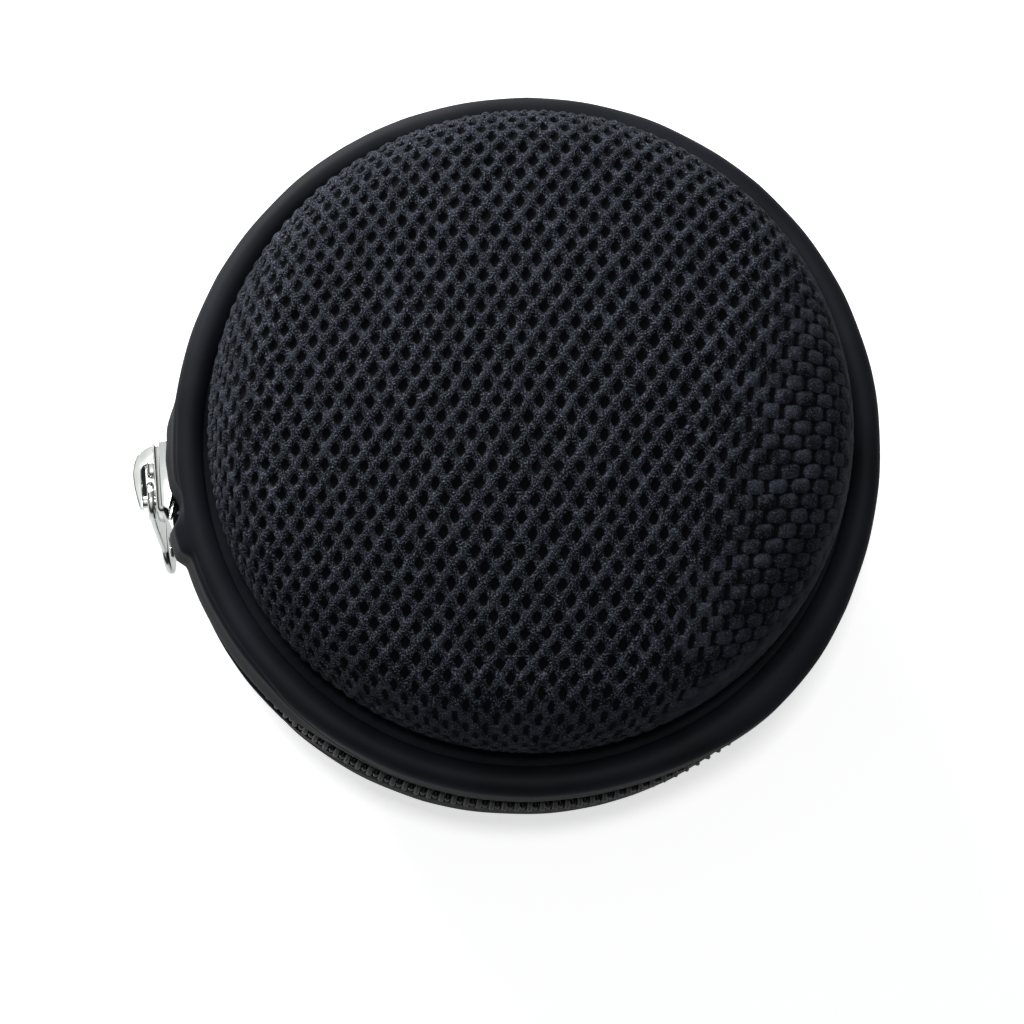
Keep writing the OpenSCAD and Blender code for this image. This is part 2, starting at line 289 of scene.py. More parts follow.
# Reflections see the white ceiling, and a darker room round the horizon that draws the edges of the metal.
ceiling = addNode(sky, "TexCoord")
ceiling = addNode(sky, "SeparateXYZ", None, {0: ceiling.outputs["Generated"]})
ceiling = addNode(sky, "MapRange", {"From Min": 0.5, "From Max": 0.95, "To Min": 0.03, "To Max": 0.9},
                  {"Value": ceiling.outputs["Z"]})
ceiling = addNode(sky, "Math", {"operation": "MAXIMUM"}, {0: ceiling, 1: fromCamera})
white = addNode(sky, "Background", {"Color": (1, 1, 1, 1)}, {"Strength": ceiling})
both = addNode(sky, "MixShader", None, {0: seen, 1: fill, 2: white})
addNode(sky, "OutputWorld", None, {"Surface": both})

# White paper sweep. The camera sees it glow under the lamps' own light, so it comes out white and keeps a
# soft grey shadow. Mirror rays see much less of that glow, and light that bounces off it sees grey paper.
floorFinish = bpy.data.materials.new("paperSweep")
floorFinish.use_nodes = True
tree = floorFinish.node_tree
tree.nodes.clear()
fromCamera, seen = backdropRays(tree)
grey = addNode(tree, "BsdfDiffuse", {"Color": toLinear("#9c9c9c")})
pale = addNode(tree, "BsdfDiffuse", {"Color": toLinear("#f0f0f0")})
strength = addNode(tree, "Math", {"operation": "MULTIPLY_ADD", 1: 0.58, 2: 0.08}, {0: fromCamera})
glow = addNode(tree, "Emission", {"Color": (1, 1, 1, 1)}, {"Strength": strength})
sweep = addNode(tree, "AddShader", None, {0: pale, 1: glow})
mixed = addNode(tree, "MixShader", None, {0: seen, 1: grey, 2: sweep})
addNode(tree, "OutputMaterial", None, {"Surface": mixed})
floorMesh = bpy.data.meshes.new("floor")
floorMesh.from_pydata([(-3, -3, 0), (3, -3, 0), (3, 3, 0), (-3, 3, 0)], [], [(0, 1, 2, 3)])
floorMesh.materials.append(floorFinish)
floor = bpy.data.objects.new("floor", floorMesh)
scene.collection.objects.link(floor)

print("materials")
# The cloth's yarns cross in a staggered lattice: every pitch along a row, every rise between rows.
weave = {
    "pitch": 2.32,  # mm between pits along a row
    "rise": 1.66,  # mm between rows
    "pitDepth": 0.44,
    "brickCrown": 0.26,
    "tightCrown": 0.2,  # where the cloth is pulled tight, its yarns stand apart as bricks
    "tightGap": 0.14,
    "uneven": 0.12,  # share by which one crossing differs from the next
    "fuzz": 0.008,  # mm, fibres that stand up
    "stepsAlong": 8,  # grid points per pitch
    "stepsAcross": 6,  # grid points per row
}


def clothMaterial(name):
    # Woven polyester, coarse piece-dyed black yarn: dull dark fibres with painted glints in light specks,
    # and painted shade that makes the pits between the yarns near black. Fibres are drawn 0.2 mm wide,
    # coarser than they are, so that they show.
    # The attribute cloth holds a point's place in the weave in millimetres, and how tight it is there.
    finish, tree, shader = startMaterial(name, {
        "Roughness": 0.7, "Specular IOR Level": 0.06, "Sheen Weight": 0.04, "Sheen Roughness": 0.4,
        "Sheen Tint": toLinear("#aeb4c0"),
    })
    place = addNode(tree, "Attribute", {"attribute_name": "cloth"}).outputs["Vector"]
    axes = addNode(tree, "SeparateXYZ", None, {0: place})
    tight = axes.outputs[2]
    # pits of the loose weave: cos(a) cos(b) - sin(a)^2 sin(b)^2, as in weaveHeight
    along = addNode(tree, "Math", {"operation": "MULTIPLY", 1: 2 * np.pi / weave["pitch"]},
                    {0: axes.outputs[0]})
    along = addNode(tree, "Math", {"operation": "COSINE"}, {0: along})
    across = addNode(tree, "Math", {"operation": "MULTIPLY", 1: np.pi / weave["rise"]},
                     {0: axes.outputs[1]})
    across = addNode(tree, "Math", {"operation": "COSINE"}, {0: across})
    lattice = addNode(tree, "Math", {"operation": "MULTIPLY"}, {0: along, 1: across})
    sines = []
    for wave in (along, across):
        square = addNode(tree, "Math", {"operation": "MULTIPLY"}, {0: wave, 1: wave})
        sines.append(addNode(tree, "Math", {"operation": "SUBTRACT", 0: 1.0}, {1: square}))
    corner = addNode(tree, "Math", {"operation": "MULTIPLY"}, {0: sines[0], 1: sines[1]})
    lattice = addNode(tree, "Math", {"operation": "SUBTRACT"}, {0: lattice, 1: corner})
    # gaps of the tight weave: (0.5 + 0.5 cos(a) sign(cos b))^3 + 0.9 (1 - |cos b|)^1.6
    rowSign = addNode(tree, "Math", {"operation": "SIGN"}, {0: across})
    rowGap = addNode(tree, "Math", {"operation": "MULTIPLY"}, {0: along, 1: rowSign})
    rowGap = addNode(tree, "Math", {"operation": "MULTIPLY_ADD", 1: 0.5, 2: 0.5}, {0: rowGap})
    rowGap = addNode(tree, "Math", {"operation": "POWER", 1: 3.0}, {0: rowGap})
    lineGap = addNode(tree, "Math", {"operation": "MULTIPLY"}, {0: across, 1: rowSign})
    lineGap = addNode(tree, "Math", {"operation": "SUBTRACT", 0: 1.0}, {1: lineGap})
    lineGap = addNode(tree, "Math", {"operation": "POWER", 1: 1.6}, {0: lineGap})
    gap = addNode(tree, "Math", {"operation": "MULTIPLY_ADD", 1: 0.9}, {0: lineGap, 2: rowGap})
    gap = addNode(tree, "Math", {"operation": "MULTIPLY_ADD", 1: 0.62, 2: -0.42}, {0: gap})
    pattern = addNode(tree, "Mix", {"data_type": "FLOAT"}, {0: tight, 2: lattice, 3: gap})
    # the pits have ragged edges, less so where the cloth is tight, and fade where it is stretched smooth
    ragged = addNode(tree, "TexNoise", {"Scale": 1.6, "Detail": 3.0, "Roughness": 0.65},
                     {"Vector": place})
    ragged = addNode(tree, "MapRange",
                     {"From Min": 0.25, "From Max": 0.75, "To Min": -0.4, "To Max": 0.4}, {"Value": ragged})
    steady = addNode(tree, "Math", {"operation": "MULTIPLY_ADD", 1: -0.5, 2: 1.0}, {0: tight})
    ragged = addNode(tree, "Math", {"operation": "MULTIPLY"}, {0: ragged, 1: steady})
    edge = addNode(tree, "Math", {"operation": "ADD"}, {0: pattern, 1: ragged})
    smooth = addNode(tree, "Math", {"operation": "SUBTRACT", 1: 1.0}, {0: tight})
    smooth = addNode(tree, "Math", {"operation": "MAXIMUM", 1: 0.0}, {0: smooth})
    edge = addNode(tree, "Math", {"operation": "SUBTRACT"}, {0: edge, 1: smooth})
    pit = addNode(tree, "MapRange",
                  {"From Min": -0.05, "From Max": 0.25, "interpolation_type": "SMOOTHSTEP"}, {"Value": edge})
    # painted glints on the fibres, fewer where the cloth is tight, on yarns a little lighter or darker
    fibre = addNode(tree, "TexNoise", {"Scale": 5.2, "Detail": 2.0, "Roughness": 0.8}, {"Vector": place})
    glintsAndTone = addNode(tree, "MapRange", {"From Min": 0.51, "From Max": 0.70}, {"Value": fibre})
    calm = addNode(tree, "Math", {"operation": "MULTIPLY", 1: 0.7}, {0: tight})
    glintsAndTone = addNode(tree, "Mix", {"data_type": "FLOAT", 3: 0.1}, {0: calm, 2: glintsAndTone})
    yarn = addNode(tree, "TexNoise", {"Scale": 0.5, "Detail": 1.0}, {"Vector": place})
    yarn = addNode(tree, "MapRange",
                   {"From Min": 0.3, "From Max": 0.7, "To Min": -0.08, "To Max": 0.08}, {"Value": yarn})
    glintsAndTone = addNode(tree, "Math", {"operation": "ADD", "use_clamp": True}, {0: glintsAndTone, 1: yarn})
    # the light end of this mix is painted glints on the fibres; the yarn noise adds real tone
    thread = addNode(tree, "Mix",
                     {"data_type": "RGBA", 6: toLinear("#06070b"), 7: toLinear("#6e7585")}, {0: glintsAndTone})
    # painted shade: the pits are coloured near black, on top of their real depth, for the shade that falls
    # in them
    colour = addNode(tree, "Mix", {"data_type": "RGBA", 7: toLinear("#020306")},
                     {0: pit, 6: thread.outputs[2]})
    tree.links.new(colour.outputs[2], shader.inputs["Base Color"])
    hollow = addNode(tree, "Math", {"operation": "MULTIPLY", 1: -1.2}, {0: pit})
    height = addNode(tree, "Math", {"operation": "ADD"}, {0: fibre, 1: hollow})
    bump = addNode(tree, "Bump", {"Strength": 1.0, "Distance": 0.00016}, {"Height": height})
    tree.links.new(bump.outputs[0], shader.inputs["Normal"])
    return finish


def plainMaterial(name, settings, dark, light, scale, detail, bumpScale, bumpDistance):
    # A colour that drifts between two shades, and a fine grain for the touch of the surface. Scales count on
    # Object coordinates, which are metres, so 1000 draws about 1 mm.
    finish, tree, shader = startMaterial(name, settings)
    place = addNode(tree, "TexCoord").outputs["Object"]
    drift = addNode(tree, "TexNoise", {"Scale": scale, "Detail": detail}, {"Vector": place})
    drift = addNode(tree, "MapRange", {"From Min": 0.35, "From Max": 0.65}, {"Value": drift})
    colour = addNode(tree, "Mix",
                     {"data_type": "RGBA", 6: toLinear(dark), 7: toLinear(light)}, {0: drift})
    tree.links.new(colour.outputs[2], shader.inputs["Base Color"])
    grain = addNode(tree, "TexNoise", {"Scale": bumpScale, "Detail": 3.0}, {"Vector": place})
    bump = addNode(tree, "Bump", {"Strength": 1.0, "Distance": bumpDistance}, {"Height": grain})
    tree.links.new(bump.outputs[0], shader.inputs["Normal"])
    return finish


def ribMaterial(name, settings, dark, light, threadsAlong, threadsAcross, bumpDistance):
    # Woven or knitted tape: ribs on the piece's own millimetres, sin(u + v) + 0.35 sin(u) as in a twill,
    # with u and v turning once in each thread spacing, and fuzz over them
    finish, tree, shader = startMaterial(name, settings)
    place = addNode(tree, "Attribute", {"attribute_name": "cloth"}).outputs["Vector"]
    axes = addNode(tree, "SeparateXYZ", None, {0: place})
    u = addNode(tree, "Math", {"operation": "MULTIPLY", 1: 2 * np.pi / threadsAlong},
                {0: axes.outputs[0]})
    v = addNode(tree, "Math", {"operation": "MULTIPLY", 1: 2 * np.pi / threadsAcross},
                {0: axes.outputs[1]})
    slant = addNode(tree, "Math", {"operation": "ADD"}, {0: u, 1: v})
    slant = addNode(tree, "Math", {"operation": "SINE"}, {0: slant})
    cross = addNode(tree, "Math", {"operation": "SINE"}, {0: u})
    ribs = addNode(tree, "Math", {"operation": "MULTIPLY_ADD", 1: 0.35}, {0: cross, 2: slant})
    fuzz = addNode(tree, "TexNoise", {"Scale": 5.0, "Detail": 2.0}, {"Vector": place})
    height = addNode(tree, "Math", {"operation": "MULTIPLY_ADD", 1: 1.5}, {0: fuzz, 2: ribs})
    # painted light and shade: the colour is lighter on the raised ribs and darker between them, and the fuzz
    # varies it at random
    ribLightAndFuzz = addNode(tree, "MapRange", {"From Min": -0.6, "From Max": 2.0}, {"Value": height})
    colour = addNode(tree, "Mix",
                     {"data_type": "RGBA", 6: toLinear(dark), 7: toLinear(light)}, {0: ribLightAndFuzz})
    tree.links.new(colour.outputs[2], shader.inputs["Base Color"])
    bump = addNode(tree, "Bump", {"Strength": 1.0, "Distance": bumpDistance}, {"Height": height})
    tree.links.new(bump.outputs[0], shader.inputs["Normal"])
    return finish


wovenPolyester = clothMaterial("wovenPolyester")
# Moulded polyurethane-faced rim: smooth and matt, so it shows only a broad dull highlight
mouldedRim = plainMaterial("mouldedRim", {"Roughness": 0.6, "Specular IOR Level": 0.1},
                           "#121418", "#1c1f25", scale=90, detail=2, bumpScale=2600, bumpDistance=0.000012)
# Nylon monofilament: black, slightly glossy, with soft highlights along each turn
nylonCoil = plainMaterial("nylonCoil", {"Roughness": 0.38, "Specular IOR Level": 0.25},
                          "#0e0f11", "#191a1e", scale=700, detail=2, bumpScale=3000, bumpDistance=0.00001)
# EVA foam board: dull charcoal with fine closed cells
evaFoam = plainMaterial("evaFoam", {"Roughness": 0.9, "Specular IOR Level": 0.2},
                        "#1a1b1f", "#24262b", scale=400, detail=3, bumpScale=2200, bumpDistance=0.00004)
# Bright nickel on a zinc die casting: mirror-like, with a faint ripple left by tumbling
nickel = plainMaterial("nickelPlate", {"Metallic": 1.0, "Roughness": 0.2},
                       "#d2d6d2", "#e2e6e3", scale=300, detail=2, bumpScale=900, bumpDistance=0.00002)
# Spring steel in painted shade: a dark satin strip inside the bail, dark for the shade in the gap under the
# bar
gapShadeSteel = plainMaterial("gapShadeSteel", {"Metallic": 1.0, "Roughness": 0.45},
                            "#16171a", "#24262a", scale=300, detail=2, bumpScale=900, bumpDistance=0.00001)
# Polyester zip tape in a twill: dull black with faint ribs, drawn 0.7 mm apart, twice the real spacing
zipTwill = ribMaterial("zipTwill", {"Roughness": 0.85, "Specular IOR Level": 0.2, "Sheen Weight": 0.05},
                       "#08090b", "#1c1e23", threadsAlong=0.7, threadsAcross=0.7, bumpDistance=0.00005)
# Brushed tricot knit: soft charcoal with a slight sheen, its 0.5 mm loops drawn 1 mm apart
tricotLining = ribMaterial("tricotLining",
                           {"Roughness": 0.9, "Specular IOR Level": 0.15, "Sheen Weight": 0.15},
                           "#121317", "#2c2e35", threadsAlong=1.0, threadsAcross=1.0, bumpDistance=0.00006)
# Polyester grosgrain binding: dull black, with ribs of 0.6 mm across the tape
grosgrain = ribMaterial("grosgrain", {"Roughness": 0.8, "Specular IOR Level": 0.2, "Sheen Weight": 0.06},
                        "#0b0c0f", "#202228", threadsAlong=0.6, threadsAcross=40.0, bumpDistance=0.00006)

print("woven covers")
cover = {
    "lidSink": 0.08,  # the weave's mid-level below the dome's face
    "baseSink": 0.21,
    "back": 0.64,  # depth of the smooth sheet behind it
    "rings": 7,  # of that sheet
    "endZ": 6.0,  # the cloth ends inside the rim's groove
    "lean": 0.061,  # pulled over the dome, the columns lean, and part towards the right
    "partU": 0.0014,
    "partV": 0.13,  # and the rows part in the middle, and close up towards the edges
    "closeV": 0.06,
    "balance": 0.55,
    "reach": 36.0,
    "slowU": 0.16,  # mm by which the yarns wander slowly and quickly, along and across the rows
    "quickU": 0.07,
    "slowV": 0.14,
    "quickV": 0.06,
    "tightRight": (0.95, 15, 29),  # how tight the cloth is, and where that starts and is full
    "tightNear": (0.6, 27, 34),
    "tightLeft": (0.5, 27, 34),
    "tightSlant": 0.28,  # the tight part at the right slants by this much
    "smooth": 0.85,  # share of the relief lost on the wall at the right
    "smoothWall": (34.5, 38.0),  # where that starts and is full, along the dome and to the right
    "smoothRight": (8, 24),
    "smoothMark": 1.05,  # added to the tightness there, for the material
}


def weaveHeight(u, v, tight):
    # cos(a) cos(b) is 1 at each pit and -1 at each yarn's crown, and less sin(a)^2 sin(b)^2 it makes the
    # pits lozenges, with a = 2 pi u / pitch and b = pi v / rise; where the cloth is tight, the gap round
    # each brick is (0.5 + 0.5 cos(a) sign(cos b))^3 + 0.9 (1 - |cos b|)^1.6
    a = 2 * np.pi * u / weave["pitch"]
    b = np.pi * v / weave["rise"]
    wave = np.cos(a) * np.cos(b)
    pits = smoothStep(wave - (np.sin(a) * np.sin(b)) ** 2, -0.15, 0.45)
    crowns = smoothStep(-wave, 0.0, 1.0)
    loose = weave["brickCrown"] * crowns - weave["pitDepth"] * pits
    gap = (0.5 + 0.5 * np.cos(a) * np.sign(np.cos(b))) ** 3 + 0.9 * (1 - np.abs(np.cos(b))) ** 1.6
    bricks = weave["tightCrown"] * (1 - smoothStep(gap, 0.0, 0.9))
    bricks = bricks - weave["tightGap"] * smoothStep(gap, 0.4, 1.0)
    return loose + (bricks - loose) * tight


def pulledWeave(u, v):
    # where a point of the flat grid lies in the weave: columns lean by v and part by u^2, rows part by
    # balance - (u / reach)^2 and close up by (v / reach)^2, and sines of both let the yarns wander
    slowU = cover["slowU"] * np.sin(0.21 * u + 0.9) * np.sin(0.17 * v + 0.4)
    slowV = cover["slowV"] * np.sin(0.19 * v - 0.6) * np.sin(0.16 * u + 1.7)
    quickU = cover["quickU"] * np.sin(0.83 * v + 0.31 * u)
    quickV = cover["quickV"] * np.sin(0.71 * u - 0.4 * v)
    wider = cover["partV"] * (cover["balance"] - (u / cover["reach"]) ** 2)
    closer = cover["closeV"] * (v / cover["reach"]) ** 2
    along = u - cover["lean"] * v - cover["partU"] * u * u + slowU + quickU
    across = v * (1 - wider + closer) + slowV + quickV
    return along, across


def coverPart(path, side, sink):
    # a square grid laid over the dome by arc length from its crown, moved along the dome's normal by the
    # weave, and closed behind by a smooth sheet of rings that starts at the grid's own border
    endS = np.interp(-cover["endZ"], -path[2], path[0])
    du = weave["pitch"] / weave["stepsAlong"]
    dv = weave["rise"] / weave["stepsAcross"]
    nu = int(endS / du) + 1
    nv = int(endS / dv) + 1
    u, v = np.meshgrid(np.arange(-nu, nu + 1) * du, np.arange(-nv, nv + 1) * dv)
    within = np.hypot(u, v) <= endS
    whole = within[:-1, :-1] & within[1:, :-1] & within[:-1, 1:] & within[1:, 1:]
    quads = gridQuads(*u.shape)[whole.ravel()]
    uses = np.bincount(quads.ravel(), minlength=u.size)
    kept = np.flatnonzero(uses)
    number = np.full(u.size, -1)
    number[kept] = np.arange(len(kept))
    u, v = u.ravel()[kept], v.ravel()[kept]
    latticeU, latticeV = pulledWeave(u, v)
    s = np.hypot(u, v)
    angle = np.arctan2(v, u) + np.radians(-60)  # u runs to the photo's right, v up
    # the cloth is pulled tight at the right, and a little at the near and left edges
    tight = np.zeros(len(u))
    rightward = u - cover["tightSlant"] * v
    for reach, edge in ((rightward, "tightRight"), (-v, "tightNear"), (-u, "tightLeft")):
        share, start, full = cover[edge]
        tight = np.maximum(tight, share * smoothStep(reach, start, full))
    # on the wall at the right it is stretched smooth
    smooth = smoothStep(s, *cover["smoothWall"]) * smoothStep(u, *cover["smoothRight"])
    lift = weaveHeight(latticeU, latticeV, tight) * (1 - cover["smooth"] * smooth)
    # crossings differ from each other, half as much where the cloth is tight, and fibres stand up
    cells = rng.normal(0, 1, (128, 128))
    cell = cells[np.round(latticeV / weave["rise"]).astype(int) % 128,
                 np.round(latticeU / weave["pitch"] * 2).astype(int) % 128]
    lift = lift * (1 + weave["uneven"] * (1 - 0.5 * tight) * cell) + rng.normal(0, weave["fuzz"], len(lift))
    face = onDome(path, s, angle, sink - lift, side)
    border = np.flatnonzero(uses[kept] < 4)
    border = border[np.argsort(np.arctan2(v[border], u[border]))]
    rings = cover["rings"]
    shrink = np.linspace(1, 0, rings + 1)[:-1, None]
    turns = np.broadcast_to(angle[border], (rings, len(border)))
    inner = onDome(path, s[border] * shrink, turns, cover["back"], side)
    pole = onDome(path, np.zeros(1), np.zeros(1), cover["back"], side)
    points = np.concatenate([face, inner.reshape(-1, 3), pole])
    start = len(face)
    nb = len(border)
    loop = start + np.arange(nb)
    band = np.stack([border, np.roll(border, -1), np.roll(loop, -1), loop], -1)
    sheet = gridQuads(rings, nb, wrapCols=True) + start
    last = start + (rings - 1) * nb + np.arange(nb)
    fan = np.stack([last, np.roll(last, -1), np.full(nb, len(points) - 1)], -1)
    cloth = np.zeros((len(points), 3))
    cloth[:start, 0] = latticeU
    cloth[:start, 1] = latticeV
    cloth[:start, 2] = tight + cover["smoothMark"] * smooth
    cloth[start:-1, 0] = (u[border] * shrink).ravel()
    cloth[start:-1, 1] = (v[border] * shrink).ravel()
    return (points, [number[quads], band, sheet, fan]), cloth


lidPath = domePath(case["lidH"], case["lidFlat"], case["lidSlope"], case["rimEdge"])
basePath = domePath(case["baseH"], case["baseFlat"], case["baseSlope"], case["rimEdge"])
halves = (("lid", lidPath, 1), ("base", basePath, -1))  # body, outer face, side of the mid-plane
for half, path, side in halves:
    part, cloth = coverPart(path, side, cover[half + "Sink"])
    piece = makePiece(half + "Cover", [part], wovenPolyester, cloth)
    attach(piece, half)
    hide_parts(half + "_cover")

print("rims")
rim = {
    "outer": 39.6,
    "beadR": 1.7,
    "beadZ": 7.5,
    "round": 0.35,  # lower outer edge
    "sideLow": 4.0,  # where the outer side's rings start
    "steps": 512,  # grid points round the case
    "creaseHigh": 8.4,  # the crease over the zip runs down from this height
    "creaseLow": 4.2,
    "creaseDepth": 0.2,
    "creaseWidth": 0.22,
    "creaseFall": (160, 190),  # angles in degrees from here on, with each bell's middle and width
    "creaseStart": (112, 122),
    "creaseEnd": (186, 205),
    "nearOut": 0.95,  # where the zip starts, and along the crease, the rim's lower edge is pushed out
    "near": (118.5, 4.5),
    "lidOut": 0.7,
    "baseOut": 0.3,
    "outStart": (119, 124),
    "outEnd": (166, 182),
    "rightOut": 0.95,  # the lid's rim is pressed out at the photo's lower right
    "right": (256, 18),
    "notchIn": 0.85,  # and gives way to the slider's tail
    "notch": (131.0, 2.4),
    "swellOut": 0.9,  # beside it, where it hides the pull's edge
    "swellStart": (132.8, 135.6),
    "swellEnd": (138.8, 141.0),
    "behindOut": 0.6,  # the base's rim shows behind the notch
    "behind": (131.5, 4.0),
    "fade": 5.0,  # mm below the crease over which a push grows
    "wave": 0.05,  # unevenness along the rim
    "sink": 0.03,
}


def rimPart(half, path, side):
    # one profile round the case: lower edge, outer side, a half-round bead, and the wall down into the
    # groove; its radius changes with the angle by slow sines, by a crease (a bell curve in height that runs
    # down as the angle grows) and by smooth pushes below the crease
    lower = path[1][-1]
    wallTop = rim["beadZ"] - rim["beadR"] / 3
    inner = np.interp(-wallTop, -path[2], path[1])
    outer = rim["outer"]
    beadC = outer - rim["beadR"]
    edge = case["rimEdge"]
    corner = np.radians(np.linspace(-90, 0, 6))
    bead = np.radians(np.linspace(0, 180, 27))
    profile = np.concatenate([
        [[lower, edge], [(lower + beadC) / 2, edge]],
        np.stack([outer - rim["round"] + rim["round"] * np.cos(corner),
                  edge + rim["round"] + rim["round"] * np.sin(corner)], -1),
        np.stack([np.full(20, outer), np.linspace(rim["sideLow"], rim["beadZ"], 22)[1:-1]], -1),
        np.stack([beadC + rim["beadR"] * np.cos(bead), rim["beadZ"] + rim["beadR"] * np.sin(bead)], -1),
        [[inner, wallTop]],
    ])
    angles = np.linspace(0, 2 * np.pi, rim["steps"], endpoint=False)
    points = ringPoints(profile, angles, side)
    outward = np.stack([np.cos(angles), np.sin(angles), 0 * angles], -1)[:, None, :]
    r, z = profile[:, 0], profile[:, 1]
    onSide = np.clip((r - beadC) / rim["beadR"], 0, 1)
    turn = np.degrees(angles)[:, None]
    fall = smoothStep(turn, *rim["creaseFall"])
    fold = rim["creaseHigh"] + (rim["creaseLow"] - rim["creaseHigh"]) * fall
    strength = smoothStep(turn, *rim["creaseStart"]) * (1 - smoothStep(turn, *rim["creaseEnd"]))
    crease = rim["creaseDepth"] * strength * bell(z, fold, rim["creaseWidth"])
    below = smoothStep(fold - z, 0, rim["fade"])
    out = smoothStep(turn, *rim["outStart"]) * (1 - smoothStep(turn, *rim["outEnd"]))
    push = (rim["nearOut"] * bell(turn, *rim["near"]) + rim[half + "Out"] * out) * below
    if half == "lid":
        swell = smoothStep(turn, *rim["swellStart"]) * (1 - smoothStep(turn, *rim["swellEnd"]))
        dent = rim["swellOut"] * swell - rim["notchIn"] * bell(turn, *rim["notch"])
        push = push + dent * smoothStep(fold + 1 - z, 0, 2.0) + rim["rightOut"] * bell(turn, *rim["right"])
    else:
        push = push + rim["behindOut"] * bell(turn, *rim["behind"]) * below
    wave = np.sin(5 * angles + side) + 0.6 * np.sin(13 * angles + 2) + 0.4 * np.sin(29 * angles)
    shift = (push - crease - np.abs(rim["wave"] * wave)[:, None]) * onSide - rim["sink"]
    points = points + shift[..., None] * outward
    return points.reshape(-1, 3), [gridQuads(len(angles), len(profile), True, True)]


for half, path, side in halves:
    piece = makePiece(half + "Rim", [rimPart(half, path, side)], mouldedRim, sharp=50)
    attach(piece, half)
    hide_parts(half + "_rim")

print("zip chain")
coil = {
    "inR": 38.4,
    "outR": 40.15,
    "lean": 0.6,  # the outer leg leans out towards the head
    "baseIn": 0.3,  # and that of the base lies further in
    "squareness": 0.62,
    "nearOut": 0.12,  # the chain bows out at the front left
    "near": (215, 34.38),  # middle and width of that bow, in degrees
    "startIn": 0.25,  # and it lies deeper under the rim where it starts
    "startEnd": (160, 172),
    "headZ": -0.45,
    "topZ": 2.1,
    "wire": 0.64,
    "pitch": 1.4,
    "turns": 147,
    "firstDeg": 126.49,
    "steps": 16,  # points per turn
    "sides": 7,  # round the wire
}


def coilPart(side, shift):
    # a wire wound as a rounded rectangle in (radius, height); its outer leg and head stay square to the
    # chain, and it steps on by one pitch over the inner leg, near the tape
    wireR = coil["wire"] / 2
    turn = np.arange(coil["turns"] * coil["steps"] + 1) / coil["steps"]
    whole = np.floor(turn)
    part = turn - whole
    phi = 2 * np.pi * part
    cosPhi = squared(np.cos(phi), coil["squareness"])
    sinPhi = squared(np.sin(phi), coil["squareness"])
    midR = (coil["inR"] + coil["outR"]) / 2
    midZ = (coil["headZ"] + coil["topZ"]) / 2
    r = midR + ((coil["outR"] - coil["inR"]) / 2 - wireR) * cosPhi
    r = r - (coil["lean"] * smoothStep(sinPhi, -0.7, 1.0) + coil["baseIn"] * (side < 0)) * (cosPhi > 0)
    z = midZ + ((coil["topZ"] - coil["headZ"]) / 2 - wireR) * sinPhi
    pitchDeg = np.degrees(coil["pitch"] / case["caseR"])
    degrees = coil["firstDeg"] + (whole + smoothStep(part, 0.22, 0.5) + shift) * pitchDeg
    r = r + coil["nearOut"] * bell(degrees, *coil["near"])
    r = r - coil["startIn"] * (1 - smoothStep(degrees, *coil["startEnd"]))
    a = np.radians(degrees)
    centre = np.stack([r * np.cos(a), r * np.sin(a), case["midZ"] + side * z], -1)
    ahead = np.gradient(centre, axis=0)
    ahead /= np.linalg.norm(ahead, axis=1, keepdims=True)
    along = np.stack([-np.sin(a), np.cos(a), 0 * a], -1)
    out = np.cross(ahead, along)
    out /= np.linalg.norm(out, axis=1, keepdims=True)
    along = np.cross(out, ahead)
    q = np.linspace(0, 2 * np.pi, coil["sides"], endpoint=False)[None, :, None]
    tube = centre[:, None] + wireR * (np.cos(q) * along[:, None] + 1.05 * np.sin(q) * out[:, None])
    size = len(turn), coil["sides"]
    return tube.reshape(-1, 3), [gridQuads(*size, wrapCols=True), endCaps(*size)]


for half, path, side in halves:
    shift = 0.0 if half == "lid" else 0.5  # the base's turns lie between the lid's
    piece = makePiece(half + "Coil", [coilPart(side, shift)], nylonCoil)
    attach(piece, half)
    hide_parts(half + "_zip_teeth")

tape = {
    "inR": 37.8,
    "outR": 38.4,
    "slit": 0.8,
    "top": 6.2,
    "ends": (104.0, 436.0),  # degrees
    "steps": (6, 320),  # grid points up and along
    "hingeEnds": (76.05, 103.95),
    "hingeSteps": (40, 48),
}


def tapePart(zLow, zHigh, ends, steps, side):
    # a strip of cloth that stands in the rim: a rounded flat section carried round between two angles
    rows, cols = steps
    q = np.linspace(0, np.pi, 7)
    edge = (tape["outR"] - tape["inR"]) / 2
    mid = tape["inR"] + edge
    rise = np.linspace(zLow + edge, zHigh - edge, rows)
    section = np.concatenate([
        np.stack([np.full(rows, tape["outR"]), rise], -1),
        np.stack([mid + edge * np.cos(q), zHigh - edge + edge * np.sin(q)], -1)[1:-1],
        np.stack([np.full(rows, tape["inR"]), rise[::-1]], -1),
        np.stack([mid - edge * np.cos(q), zLow + edge - edge * np.sin(q)], -1)[1:-1],
    ])
    angles = np.radians(np.linspace(*ends, cols))
    points = ringPoints(section, angles, side).reshape(-1, 3)
    n = len(section)
    cloth = np.stack([np.repeat(angles * mid, n), np.tile(section[:, 1], cols), np.zeros(cols * n)], -1)
    return (points, [gridQuads(cols, n, wrapCols=True), endCaps(cols, n)]), cloth


for half, path, side in halves:
    part, cloth = tapePart(tape["slit"], tape["top"], tape["ends"], tape["steps"], side)
    piece = makePiece(half + "Tape", [part], zipTwill, cloth, sharp=60)
    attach(piece, half)
    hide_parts(half + "_zip_tape")

part, cloth = tapePart(-tape["top"], tape["top"], tape["hingeEnds"], tape["hingeSteps"], 1)
hingeFabric = makePiece("hingeFabric", [part], zipTwill, cloth, sharp=60)
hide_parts("hinge_tape_base", "hinge_tape_lid")
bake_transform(hingeFabric)

print("inside")
inside = {
    "liningOut": 3.3,  # depths below the outer face
    "liningIn": 3.8,
    "liningSteps": (46, 160),  # grid points from the crown and round the case
    "bindingT": 0.35,
    "bindingW": 5.0,
    "bindingR": 0.3,  # inner radius of its bend
    "bindingMid": 31.0,  # mean radius round the case
    "bindingSteps": 256,
}


